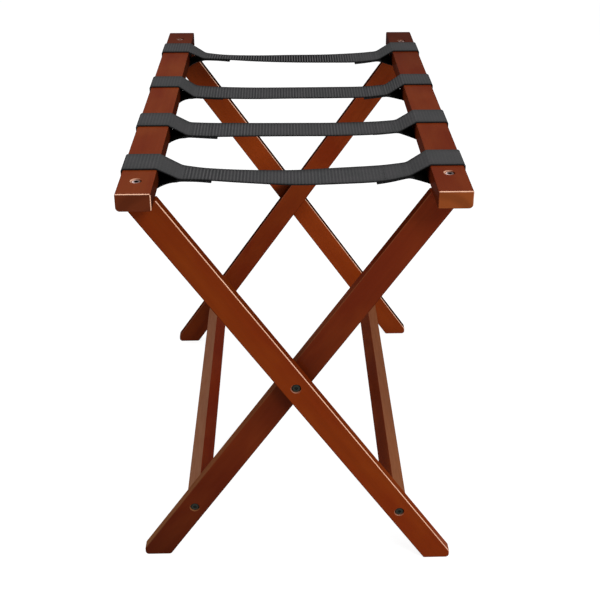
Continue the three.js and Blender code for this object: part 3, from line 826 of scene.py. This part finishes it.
def worn_and_lit_down(centre):
    """An upright edge's wear and painted highlight fade out towards the underside of the rail."""
    return WORN_AND_LIT * max(0.0, min(1.0, (centre.z - RAIL_BOTTOM - WORN_AND_LIT_FROM) / WORN_AND_LIT_RUN))


def worn_and_lit_a_little(centre):
    return WORN_AND_LIT_LITTLE * worn_and_lit_down(centre)


def bar_material(name, turn, along, start=0.0, heart=(0, 0)):
    return stained_wood(
        f"stained_{name}", TONES[name], turn, list(TONES).index(name), along, start,
        TONE_AND_SHADE_FADES.get(name, EVEN), UPPER_SIDE_SHADE_AND_SHEEN.get(name, ()), SAWN_TONES.get(name), heart,
    )


def make_rail(side):
    name = f"{side}_rail"
    node = f"{side}_top_rail"
    inwards = Vector((SIGN[side], 0, 0))
    outer = side == "outer"
    # Marks by face: the underside, the inner side, the rear top edge, the outer top edge and one front upright
    # edge take painted shade; the front top edge and the other front upright edge are pale, partly worn and partly
    # a painted highlight.
    rules = [
        (-UP, 80, -0.3),
        (inwards, 30, -0.75 if outer else -0.5),
        (FRONT + UP, 27, WORN_AND_LIT),
        (FRONT + inwards, 27, worn_and_lit_down if outer else -0.3),
        (FRONT - inwards, 27, -0.3 if outer else worn_and_lit_a_little),
        (BACK + UP, 40, -0.8),
        (UP - inwards, 25, -0.25 if outer else -0.5),
    ]
    low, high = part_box(node)
    heart = ((low[0] + high[0]) / 2 + SIGN[side] * HEART_BESIDE, low[2] - HEART_BELOW)
    bores = [fastener_bore(f"{name}_screw_{end}", UP) for end in ("front", "back")]
    material = bar_material(name, GRAIN_ALONG_Y, BACK, heart=heart)
    make_bar(node, name, side, material, rail_corners(side), bores=bores, rules=rules)


def upper_way(side):
    """Which way the upper sides of a frame's legs and stretcher look."""
    return Vector((SIGN[side] * math.cos(LEAN), 0, math.sin(LEAN)))


def make_leg(side, end):
    name = f"{side}_leg_{end}"
    out = FRONT if end == "front" else BACK
    above = upper_way(side)
    down = Vector((SIGN[side] * math.sin(LEAN), 0, -math.cos(LEAN)))
    # The front upper edge is pale, partly worn and partly a painted highlight; the front lower edge and the
    # underside take painted shade.
    rules = [
        (FRONT + above, 27, LEG_EDGE_WEAR_AND_LIGHT[name]),
        (FRONT - above, 40, -0.4),
        (-above, 15, -0.4),
    ]
    heads = [f"{side}_stretcher_bolt_{end}"] + ([f"pivot_bolt_{end}"] if side == "outer" else [])
    bores = [fastener_bore(head, out) for head in heads]
    grain = (0, RIGHT_ANGLE - SIGN[side] * LEAN, 0)
    material = bar_material(name, grain, down, PIVOT.dot(down))
    make_bar(name, name, side, material, leg_corners(side), EDGE, bores, rules, above)


def make_stretcher(side):
    name = f"{side}_stretcher"
    material = bar_material(name, GRAIN_ALONG_Y, BACK)
    corners = stretcher_corners(side)
    make_bar(name, name, side, material, corners, STRETCHER_EDGE, above=upper_way(side))


def make_wood():
    for side in SIGN:
        make_rail(side)
        make_leg(side, "front")
        make_leg(side, "back")
        make_stretcher(side)


# ---------- webbing
def bezier(points, steps):
    """Points along a Bezier curve of any order, by de Casteljau."""
    result = []
    for i in range(steps + 1):
        row = [Vector(p) for p in points]
        while len(row) > 1:
            row = [a.lerp(b, i / steps) for a, b in zip(row, row[1:])]
        result.append(row[0])
    return result


def on_circle(centre, radius, angle):
    """A point in X and Z, at an angle in radians from +X towards +Z."""
    return Vector((centre[0] + radius * math.cos(angle), centre[1] + radius * math.sin(angle)))


def arc(centre, radius, start, end, steps=TURN_STEPS):
    return [on_circle(centre, radius, start + (end - start) * i / steps) for i in range(steps + 1)]


def hang_curve(number, side, drops):
    """One edge of a strap's middle line from the seam to mid-span, as if on the left."""
    xs = (-SEAMS[number][0], *SPAN_STATIONS, SEAMS[number][1])
    stations = [Vector((x / 1000, RAIL_TOP - d / 1000 - STRAP_THICK / 2)) for x, d in zip(xs, drops)]
    if side == "right":
        stations = [Vector((-p.x, p.y)) for p in reversed(stations)]
    middle = len(stations) // 2
    line = []
    # A Catmull-Rom curve through the stations
    for i in range(middle):
        before = stations[i - 1] if i else stations[0] * 2 - stations[1]
        a, b, after = stations[i:i + 3]
        for step in range(HANG_STEPS):
            t = step / HANG_STEPS
            squared = (2 * before - 5 * a + 4 * b - after) * (t * t / 2)
            cubed = (3 * a - before - 3 * b + after) * (t * t * t / 2)
            line.append(a + (b - before) * (t / 2) + squared + cubed)
    line.append(stations[middle])
    return line


def tangent_line(centre, radius, start, target, upper):
    """The angle and the point at which a line to target leaves an arc that starts at start."""
    angle = start
    for _ in range(TANGENT_ROUNDS):
        leave = on_circle(centre, radius, angle)
        run = target - leave
        slope = math.atan2(run.y, run.x)
        angle = slope + RIGHT_ANGLE if upper else slope - RIGHT_ANGLE
    return angle, leave


def rise_from_rail(corner, bend, target, bow, hugging):
    """A lower ply from under the rail, round its inner corner and up to target, bowed upwards."""
    if hugging:
        round_corner = arc(corner, bend, -RIGHT_ANGLE, 0)
        turn = (corner[0] + bend + HUG_RADIUS, corner[1] + HUG_RISE)
        leave, start = tangent_line(turn, HUG_RADIUS, math.pi, target, True)
        round_corner += arc(turn, HUG_RADIUS, math.pi, leave)
    else:
        leave, start = tangent_line(corner, bend, -RIGHT_ANGLE, target, False)
        round_corner = arc(corner, bend, -RIGHT_ANGLE, leave)
    bowed = (start + target) / 2 + Vector((0, 2 * bow))
    return round_corner + bezier([start, bowed, target], BOW_STEPS)[1:]


def strap_stretches(number, side, drops, hugging):
    """One edge of a half strap, as if on the left, in X and Z: stretches of points from the cut end
    of the lower ply, under and round the rail, and along the upper ply to mid-span. Each has how
    much of the ribs shows, and which of its faces, 1 the left hand one or -1, is inside the loop."""
    tail_end = TAIL_ENDS[number][SIDES.index(side)] / 1000
    grow = STRAP_GAP + STRAP_THICK / 2
    hang = hang_curve(number, side, drops)
    seam = hang[0]
    top_corner = (RAIL_INNER - BAR_RADIUS, RAIL_TOP - BAR_RADIUS)
    low_corner = (RAIL_INNER - BAR_RADIUS, RAIL_BOTTOM + BAR_RADIUS)
    bend = BAR_RADIUS + grow
    leave_top, ramp_start = tangent_line(top_corner, bend, RIGHT_ANGLE, seam, True)
    drop = Vector((0, STRAP_THICK * PLY_STEP))
    seam_low = seam - drop
    rise_start = rise_from_rail(low_corner, bend, seam_low, 0, hugging)[-1 - BOW_STEPS]

    # The upper ply: down the ramp, round the bend at the seam, and on along the span.
    ramp_way = (seam - ramp_start).normalized()
    past = next(i for i, p in enumerate(hang) if p.x > seam.x + SEAM_EASE)
    upper_bend = bezier([seam - ramp_way * SEAM_EASE, seam, hang[past]], BEND_STEPS)
    # The lower ply: up from the rail, round the bend, and on under the upper ply.
    tail = [p - drop for p in hang[past:] if p.x < -tail_end]
    end_slope = (hang[past + len(tail)] - hang[past + len(tail) - 1]).normalized()
    tail.append(tail[-1] + end_slope * (-tail_end - tail[-1].x))
    droop = 0 if (number, side) in SEWN_ASKEW else TAIL_DROOP
    tail = [p - Vector((0, droop * ((p.x - seam.x) / (-tail_end - seam.x)) ** 3)) for p in tail]
    rise_way = (seam_low - rise_start).normalized()
    rise_end = seam_low - rise_way * SEAM_EASE
    rise = rise_from_rail(low_corner, bend, rise_end, LOWER_BOW[side], hugging)
    lower_bend = bezier([rise_end, seam_low, tail[0]], BEND_STEPS)

    outer_low = (RAIL_OUTER + RAIL_OUTER_RADIUS, RAIL_BOTTOM + RAIL_OUTER_RADIUS)
    outer_top = (RAIL_OUTER + BAR_RADIUS, RAIL_TOP - BAR_RADIUS)
    under, over, beside = RAIL_BOTTOM - grow, RAIL_TOP + grow, RAIL_OUTER - grow
    round_low = arc(outer_low, RAIL_OUTER_RADIUS + grow, -RIGHT_ANGLE, -math.pi, WIDE_TURN_STEPS)
    pressed = PRESSED[side]
    return [
        (tail[::-1], 1, 0),
        (lower_bend[::-1], 1, 0),
        (rise[::-1], 1, -1),
        ([Vector((low_corner[0], under)), Vector((outer_low[0], under))], 1, 0),
        (round_low, pressed, 0),
        ([Vector((beside, outer_low[1])), Vector((beside, outer_top[1]))], pressed, 0),
        (arc(outer_top, bend, math.pi, RIGHT_ANGLE, BEND_STEPS), pressed, 0),
        ([Vector((outer_top[0], over)), Vector((top_corner[0], over))], pressed, 0),
        (arc(top_corner, bend, RIGHT_ANGLE, leave_top), pressed, 0),
        ([ramp_start, upper_bend[0]], PULLED[side], -1),
        (upper_bend, PULLED[side], 0),
        (hang[past:], 1, 0),
    ]


def distances(points):
    """How far along a stretch each of its points lies."""
    return np.cumsum([0.0] + [(b - a).length for a, b in zip(points, points[1:])])


def spread(points, count):
    """The same stretch with count + 1 points evenly along it."""
    steps = distances(points)
    where = np.linspace(0, steps[-1], count + 1)
    return np.stack([np.interp(where, steps, [p[axis] for p in points]) for axis in (0, 1)], 1)


def strap_course(number, side):
    """The rear and front edges of a half strap, point by point, with its length and its finish."""
    hugging = HUGGING.get((number, side), USUAL_HUGGING)
    edges = [strap_stretches(number, side, *edge) for edge in zip(HANG[number], hugging)]
    lines = [[], []]
    relief, inside = [], []
    length = 0.0
    for (rear, shown, within), (fore, _, _) in zip(*edges):
        mean = float(distances(rear)[-1] + distances(fore)[-1]) / 2
        length += mean
        count = max(1, round(mean / (RIB_PITCH / RIB_STEPS)))
        for line, points in zip(lines, (rear, fore)):
            even = spread(points, count)
            line.append(even[1:] if line else even)
        added = len(lines[0][-1])
        relief += [shown] * added
        inside += [within] * added
    return *(np.concatenate(line) for line in lines), length, np.array(relief), np.array(inside)


def smoothed(values, reach):
    """Values averaged with their neighbours, so that a change of finish comes on gradually."""
    padded = np.pad(values.astype(float), reach, mode="edge")
    return np.convolve(padded, np.ones(2 * reach + 1) / (2 * reach + 1), mode="valid")


def rear_shift(number, x):
    """How far towards the rear a strap lies, at x metres from mid-span."""
    left, right = ASKEW[number]
    share = min(1.0, max(0.0, 0.5 + x / (2 * ASKEW_REACH)))
    return (left + (right - left) * share) / 1000


def rib_heights(number, side, mean, travelled, relief):
    """How high the webbing stands at each ring, from the bottom of a rib (0) to its crest (1)."""
    along_ribs = (travelled[-1] - travelled) / RIB_PITCH
    (left, middle, right), narrow = RIBS[number]
    crest = (0.5 - 0.5 * np.cos(2 * math.pi * along_ribs)) ** narrow
    beside = left if side == "left" else right
    shown = np.interp(-mean[:, 0], [RIBS_MIDDLE, RIBS_BESIDE], [middle, beside])
    draws = np.random.default_rng(number * 2 + SIDES.index(side))
    beats = draws.uniform(*RIB_BEAT, int(along_ribs[0]) + 3)
    beaten = np.interp(along_ribs, np.arange(len(beats)) - 0.5, beats)
    return np.clip(0.5 + (crest - 0.5) * smoothed(relief * shown, RIBS_REACH) * beaten, 0, 1)


def make_ribbon(name, rings, attributes, material):
    """A closed, smooth mesh through equal rings of points, with point attributes by name."""
    mesh = tube(name, rings)
    for attribute_name, values in attributes.items():
        data = mesh.attributes.new(attribute_name, "FLOAT", "POINT").data
        data.foreach_set("value", np.array(values, np.float32))
    face_outwards(mesh)
    finish_mesh(mesh, material)
    piece = linked(name, mesh)
    return piece


def make_stitches(name, rows, point, material):
    """Stitches across the webbing on its outer face, at each of the rows of ring numbers."""
    columns = int(STRAP_WIDTH * STITCHED / STITCH_PITCH)
    vertices, faces = [], []
    for ring in rows:
        for column in range(columns):
            place = (column + 0.5 - columns / 2) * STITCH_PITCH / (STRAP_WIDTH / 2)
            centre = Vector(point(ring, place, STRAP_THICK / 2))
            faces += tube_faces(len(STITCH_SHAPE), STITCH_SIDES, len(vertices))
            for along, width in STITCH_SHAPE:
                for k in range(STITCH_SIDES):
                    x, z = on_circle((0, 0), STITCH_RADIUS * width, 2 * math.pi * k / STITCH_SIDES)
                    vertices.append(centre + Vector((x, along * STITCH_LENGTH, z)))
    mesh = bpy.data.meshes.new("stitches")
    mesh.from_pydata(vertices, [], faces)
    face_outwards(mesh)
    finish_mesh(mesh, material)
    return linked(name, mesh)


def make_half_strap(number, side, webbing, thread):
    """One half of a strap as a closed, ribbed ribbon: from its cut end, round the rail, to mid-span."""
    frame_name = "outer" if side == "left" else "inner"
    mirror = SIGN[frame_name]
    strap = f"strap_{number}_{side}"
    low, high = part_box(f"{strap}_wrap")
    middle_y = (low[1] + high[1]) / 2
    rear, fore, length, relief, inside = strap_course(number, side)
    mean = (rear + fore) / 2
    travelled = np.concatenate([[0], np.cumsum(np.linalg.norm(np.diff(mean, axis=0), axis=1))])
    along = np.gradient(mean, axis=0)
    along /= np.linalg.norm(along, axis=1)[:, None]
    normal = np.stack([-along[:, 1], along[:, 0]], 1)
    rib = rib_heights(number, side, mean, travelled, relief)
    hidden = smoothed(inside, HIDDEN_REACH)
    rear_shade = np.interp(mean[:, 0], [RAIL_INNER, RAIL_INNER + OFF_RAIL], [ON_RAIL_SHADE, 1.0])
    seam_x = -SEAMS[number][SIDES.index(side)] / 1000
    at_seam = travelled[np.argmax(mean[:, 0] < seam_x)]
    askew = SEWN_ASKEW.get((number, side), 0)
    sideways = np.interp(travelled, [at_seam, at_seam + SEWN_RUN], [askew, 0])

    def point(i, place, lift):
        """A point of the ribbon at ring i, place across it and lifted off its middle surface."""
        share = (place + 1) / 2
        x, z = fore[i] * (1 - share) + rear[i] * share + normal[i] * lift
        y = middle_y + STRAP_WIDTH / 2 * place + rear_shift(number, mirror * x) + sideways[i]
        return mirror * x, y, z

    rings, ribs, shade = [], [], []
    for i in range(len(mean)):
        row = []
        for face in (1, -1):
            for place, thick, share, dark in SECTION[::face]:
                lift = STRAP_THICK / 2 * thick - RIB_DEPTH * share * (1 - rib[i])
                row.append(point(i, place, face * lift))
                # Painted shade: dark along the selvedges, less so on the rail at the rear, near black on the faces
                # inside the loop, and a little darker down the ramp.
                selvedge = dark * (rear_shade[i] if place > 0 else 1)
                ribs.append(rib[i] * share)
                shade.append(max(selvedge, hidden[i] * face, -hidden[i] * face * RAMP_SHADE))
        rings.append(row)
    piece = make_ribbon(f"{strap}_webbing", rings, {"rib": ribs, "shade": shade}, webbing)
    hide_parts(f"{strap}_wrap", f"{strap}_span")
    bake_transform(piece)

    # Two rows of stitches hold the plies together: above the upper ply and below the lower one.
    rows = []
    for row_x in (seam_x + past for past in STITCH_ROWS):
        plies = np.argsort(np.abs(mean[:, 0] - row_x))[:ROW_POINTS]
        rows += [max(plies, key=lambda i: mean[i][1]), min(plies, key=lambda i: mean[i][1])]
    sewn = make_stitches(f"{strap}_stitches", rows, point, thread)
    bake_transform(sewn)


def make_straps():
    webbing = webbing_material()
    thread = thread_material()
    for number in HANG:
        for side in SIDES:
            make_half_strap(number, side, webbing, thread)


# ---------- fasteners
def dress_fasteners():
    """Gives the steel, nylon and dowels of the CAD model their materials."""
    finish = {
        "black_steel": metal("black_oxide", (0.02, 0.022, 0.017), 0.45, 0.0, 0.08),
        "zinc_steel": metal("zinc_plate", (0.62, 0.62, 0.6), 0.3),
        "nylon": metal("black_nylon", (0.02, 0.02, 0.02), 0.5, 0.0),
        "dowel_wood": stained_wood("bare_dowel", BEECH, GRAIN_UPRIGHT, BEECH_ORDER),
    }
    slots = {s["node"]: s["material_slot"] for s in frame["record"]["subparts"]}
    for node, piece in frame["nodes"].items():
        if slots[node] in finish:
            material = finish[slots[node]]
            if node in SCREW_LIGHT_AND_SHADE:
                low, high = (Vector(c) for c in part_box(node))
                material = lit_screw_metal(f"worn_{node}", (low + high) / 2, *SCREW_LIGHT_AND_SHADE[node])
            piece.data.materials.clear()
            piece.data.materials.append(material)


make_camera()
make_floor()
make_light()
make_wood()
make_straps()
dress_fasteners()
